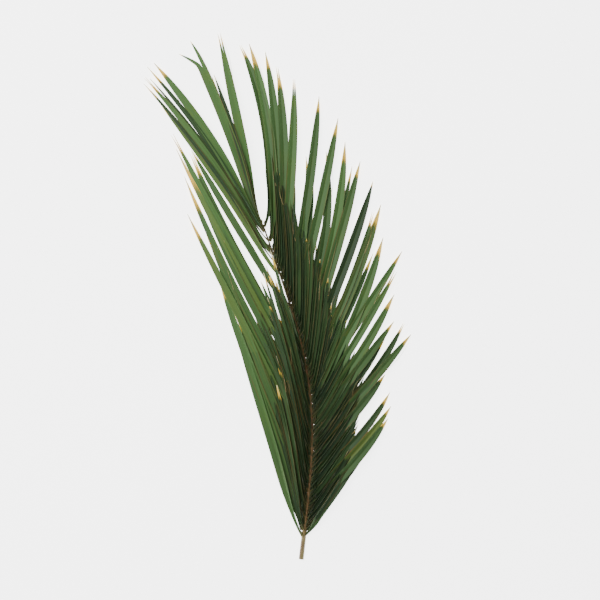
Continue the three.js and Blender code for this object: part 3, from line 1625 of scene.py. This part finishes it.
LEFT = PlacedRank(
    side=1, seed=25, roll=Roll(52, 12, 0.45), upper=0, arch=8, tip_height=3,
    tone=(0.6, 0.95), tone_spread=0.35, dry=(0.055, 0.1),
    accents=(
        (0, Accent(tone=0.85, dry=0.06)),
        (2, Accent(tone=0.8, dry=0.02, fork=Fork(0.86, 24, 0, 0.035, 14))),
        (3, Accent(root_share=0.6)),
        (4, Accent(tone=0.2, dry=0.1, root_share=0.8)),
        (5, Accent(root_share=0.8)),
        (6, Accent(root_share=0.8)),
        (7, Accent(tone=0.9, yellow=0.15, root_share=0.8)),
        (8, Accent(root_share=0.8)),
        (11, Accent(tone=0.9, dry=0.16, yellow=0.2)),
        (13, Accent(tone=0.7, dry=0.13)),
        (15, Accent(tone=0.8, dry=0.1, yellow=0.15)),
        (17, Accent(tone=0.6, dry=0.09)),
        (22, Accent(tone=0.75, dry=0.06)),
    ),
    places=placed(
        (0.999, -82, 525.8, 1, 16), (0.993, -89, 482, 0, 8), (0.997, -111, 518, 10, 16),
        (0.99, -147, 496, 16, 15), (0.98, -154, 492, 15, 9), (0.925, -156, 481, 14, 10),
        (0.91, -157, 475, 12, 8), (0.85, -143, 458, 10, 11.5), (0.745, -110, 409, -2, 12),
        (0.6, -111, 407, -12, 14), (0.56, -129, 425, -2, 12.5), (0.52, -125, 410, -4, 11),
        (0.47, -105, 373, -8, 11.5), (0.42, -117, 383, -9, 12), (0.375, -97, 333, -10, 12),
        (0.33, -114, 345, 0, 12.5), (0.28, -88, 319, -9, 12), (0.24, -73, 287, -8, 12),
        (0.2, -82, 279, -6, 14.5), (0.16, -63, 241, -4, 14.5), (0.12, -74, 261, 0, 15),
        (0.085, -58, 217, 6, 14), (0.066, -71, 252, 2, 15),
    ),
)
RIGHT = PlacedRank(
    side=-1, seed=68, roll=Roll(50, 12, 0.4), upper=0, arch=8, tip_height=3,
    tone=(0.4, 0.85), tone_spread=0.35, dry=(0.07, 0.115),
    accents=(
        (4, Accent(tone=0.85, dry=0.05)),
        (12, Accent(tone=0.1, dry=0.03)),
        (14, Accent(tone=0.5, dry=0.12, yellow=0.15)),
        (20, Accent(tone=0.3, dry=0.07)),
        (25, Accent(tone=0.7, dry=0.08, yellow=0.35)),
    ),
    places=placed(
        (0.995, -61, 515, 33, 16.5), (0.95, -52, 516, 21, 16.5), (0.91, -36, 508, 15, 16),
        (0.885, -24, 493, 14, 16), (0.86, -7, 480, 7, 16), (0.84, -10, 399, 20, 10),
        (0.79, 18, 463, 7, 16), (0.77, 5, 403, 20, 9), (0.735, 37, 441, 3, 16),
        (0.68, 25, 408, 28, 14.5), (0.655, 44, 418, 19, 16), (0.62, 59, 398, 4, 16.5),
        (0.6, 72, 378, 8, 16), (0.56, 72, 347, 16, 12), (0.54, 80, 355, 10, 17),
        (0.47, 82, 322, 15, 17), (0.5, 101, 308, 2, 14.5), (0.45, 95, 288, 4, 12.5),
        (0.42, 93, 265, 12, 15.5), (0.4, 93, 238, 2, 14.5), (0.35, 103, 236, 19, 13.5),
        (0.34, 110, 225, 3, 15.5), (0.31, 84, 185, 13, 14.5), (0.28, 77, 187, 12, 13),
        (0.24, 89, 167, 24, 13), (0.2, 90, 153, 18, 15), (0.16, 87, 141, 15, 15),
        (0.12, 71, 121, 12, 13), (0.085, 61, 107, 4, 13), (0.07, 44, 85, 2, 11),
    ),
)
UPPER_LEFT = RowRank(
    side=1, seed=31, roll=Roll(60, 40, 0.9), upper=10, arch=4, tip_height=2,
    tone=(0.1, 0.4), root_share=0.4, root_offset=0, widest=0.26,
    count=7, start=0.1, end=0.46, pairing=0.2, clump_lean=1.5,
    marks=marked((0.1, 12, 245, 6, 9), (0.46, 16, 255, 6, 9)),
)
FILL_LEFT = RowRank(
    side=1, seed=47, roll=Roll(45, 34, 0.9), upper=5, arch=5, tip_height=2,
    tone=(0.2, 0.5), dry=(0.02, 0.05), root_share=0.6, widest=0.2,
    count=14, start=0.1, end=0.52, pairing=0.25, clump_lean=2,
    marks=marked((0.07, 13, 235, 4, 10), (0.3, 19, 225, 2, 10), (0.52, 25, 170, -2, 10)),
)
FILL_RIGHT = RowRank(
    side=-1, seed=53, roll=Roll(45, 20, 0.9), upper=0, arch=2, tip_height=1,
    tone=(0, 0.5), tone_spread=0.4, dry=(0.01, 0.03),
    count=43, start=0.095, end=0.95, pairing=0.25, clump_lean=2,
    marks=marked(
        (0.08, -34, 125, 8, 10), (0.3, -33, 135, 10, 10), (0.5, -27, 120, 12, 10),
        (0.7, -15, 110, 12, 10), (0.85, -5, 110, 12, 10), (0.95, 4, 110, 12, 9.5),
    ),
)
UPPER_RIGHT = RowRank(
    side=-1, seed=59, roll=Roll(40, 30, 0.9), upper=6, arch=4, tip_height=1,
    worn=0.6, tone=(0, 0.4), tone_spread=0.4, dry=(0.01, 0.03),
    count=26, start=0.1, end=0.62, pairing=0.2, clump_lean=2,
    marks=marked(
        (0.1, -35, 120, 8, 8.5), (0.3, -34, 135, 10, 8.5), (0.5, -25, 125, 12, 8.5),
        (0.62, -14, 120, 12, 8.5),
    ),
)
INNER_LEFT = RowRank(
    side=1, seed=71, roll=Roll(36, 36, 0.9), upper=8, arch=4, tip_height=1,
    tone=(0, 0.35), tone_spread=0.35, root_share=0.95,
    count=20, start=0.09, end=0.62, pairing=0.2, clump_lean=1.5,
    marks=marked((0.06, 9, 190, 3, 8.5), (0.4, 15, 190, 2, 8.5), (0.62, 22, 130, -4, 8.5)),
)
INNER_RIGHT = RowRank(
    side=-1, seed=67, roll=Roll(36, 36, 0.9), upper=9, arch=4, tip_height=1,
    tone=(0, 0.3), tone_spread=0.35, dry=(0.02, 0.06),
    count=22, start=0.46, end=0.88, pairing=0.2, clump_lean=2,
    marks=marked((0.46, -12, 150, 6, 8.5), (0.65, 0, 175, 6, 8.5), (0.88, 3, 165, 8, 8.5)),
)
NEAR_LEFT = RowRank(
    side=1, seed=97, roll=Roll(38, 25, 0.9), upper=0, arch=1, tip_height=1,
    worn=0.4, tone=(0, 0.4), dry=(0.01, 0.02), root_share=1.0, root_offset=0.5,
    count=32, start=0.09, end=0.7, pairing=0.3, clump_lean=1.5,
    marks=marked((0.06, 4, 90, 0, 9), (0.5, 14, 85, 0, 9), (0.7, 22, 60, 0, 8)),
)
NEAR_RIGHT = RowRank(
    side=-1, seed=101, roll=Roll(38, 25, 0.9), upper=0, arch=1, tip_height=1,
    worn=0.4, tone=(0, 0.4), dry=(0.01, 0.02), root_share=1.0, root_offset=0.5,
    count=42, start=0.09, end=0.9, pairing=0.3, clump_lean=1.5,
    marks=marked((0.06, -20, 90, 0, 9), (0.5, -12, 85, 0, 9), (0.9, 6, 80, 0, 9)),
)
BETWEEN_LEFT = PlacedRank(
    side=1, seed=89, roll=Roll(48, 16, 0.5), upper=2, arch=8, tip_height=3,
    tone=(0, 0.3), dry=(0.02, 0.05),
    places=placed(
        (0.985, -87, 484, 6, 9), (0.95, -151, 480, 14, 6.5), (0.88, -149, 466, 13, 6.5),
    ),
)
BETWEEN_RIGHT = PlacedRank(
    side=-1, seed=83, roll=Roll(48, 16, 0.5), upper=0, arch=5, tip_height=2,
    tone=(0.2, 0.6), tone_spread=0.4,
    places=placed(
        (0.64, 51, 393, 8, 11), (0.52, 72, 306, 8, 11), (0.44, 79, 267, 8, 11), (0.58, 62, 352, 8, 12),
        (0.7, 30, 372, 12, 11), (0.37, 84, 221, 10, 11), (0.3, 80, 200, 12, 11),
        (0.75, 12, 378, 10, 11),
    ),
)


class Frond:
    """The whole frond: rachis, leaflet bases, leaflets and loose fibres."""

    def __init__(self) -> None:
        """Sets the frond's parts and the finishes they wear."""
        self.rachis = Rachis()
        self.groups = (
            Leaflets("leaflets_left", (LEFT,)),
            Leaflets("leaflets_right", (RIGHT,)),
            Leaflets("leaflets_filling", (FILL_LEFT, FILL_RIGHT)),
            Leaflets("leaflets_between", (NEAR_LEFT, NEAR_RIGHT, BETWEEN_LEFT, BETWEEN_RIGHT)),
            Leaflets("leaflets_upper", (UPPER_LEFT, UPPER_RIGHT, INNER_LEFT, INNER_RIGHT)),
        )
        self.leaf_skin = LeafSkin("leaf_skin", deep=(0.018, 0.039, 0.021), fresh=(0.076, 0.166, 0.050))
        self.base_skin = StalkSkin(
            "base_skin", foot=(0.130, 0.125, 0.045), middle=(0.048, 0.058, 0.022),
            top=(0.045, 0.060, 0.022), shade=(0.050, 0.036, 0.014),
        )
        self.stalk_skin = StalkSkin(
            "stalk_skin", foot=(0.240, 0.200, 0.070), middle=(0.205, 0.115, 0.045),
            top=(0.095, 0.095, 0.050), shade=(0.120, 0.060, 0.024),
        )

    def build(self) -> None:
        """Builds, dresses and reports every piece."""
        skin = self.leaf_skin.dress()
        stalk = self.stalk_skin.dress()
        blades = BladeBlank()
        blank = blades.model()
        wings = {side: blades.half(blank, side) for side in (-1, 1)}
        for group in self.groups:
            group.grow(self.rachis)
            self.place(group.model(blank, wings), Slot.GREEN, skin)
        for source in (blank, *wings.values()):
            remove(source)
        leaflets = [leaflet for group in self.groups for leaflet in group.grown]
        rod = self.rachis.model()
        rod.name = "rachis"
        smooth_under(rod, RIDGE_ANGLE)
        self.place(rod, Slot.TAN, stalk, CutFace().dress())
        self.place(LeafletBases().model(leaflets), Slot.TAN, self.base_skin.dress())
        self.place(LooseFibres().model(leaflets), Slot.TAN, DryFibre().dress())

    def place(self, piece: Piece, slot: Slot, *finishes: bpy.types.Material) -> None:
        """Dresses a piece and hands it to the frame.

        Args:
            piece: The finished mesh object.
            slot: The record's slot for the piece. Not used.
            *finishes: Its materials, in the order of its faces' numbers.
        """
        piece.data.materials.clear()
        for finish in finishes:
            piece.data.materials.append(finish)
        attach(piece, BODY)
        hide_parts(NODE)
        log.info("%s: %d faces", piece.name, len(piece.data.polygons))


def main() -> None:
    """Builds the studio and the frond."""
    logging.basicConfig(level=logging.INFO, format="%(message)s")
    frond = Frond()
    Studio().build(frond.rachis)
    frond.build()


if __name__ == "__main__":
    main()
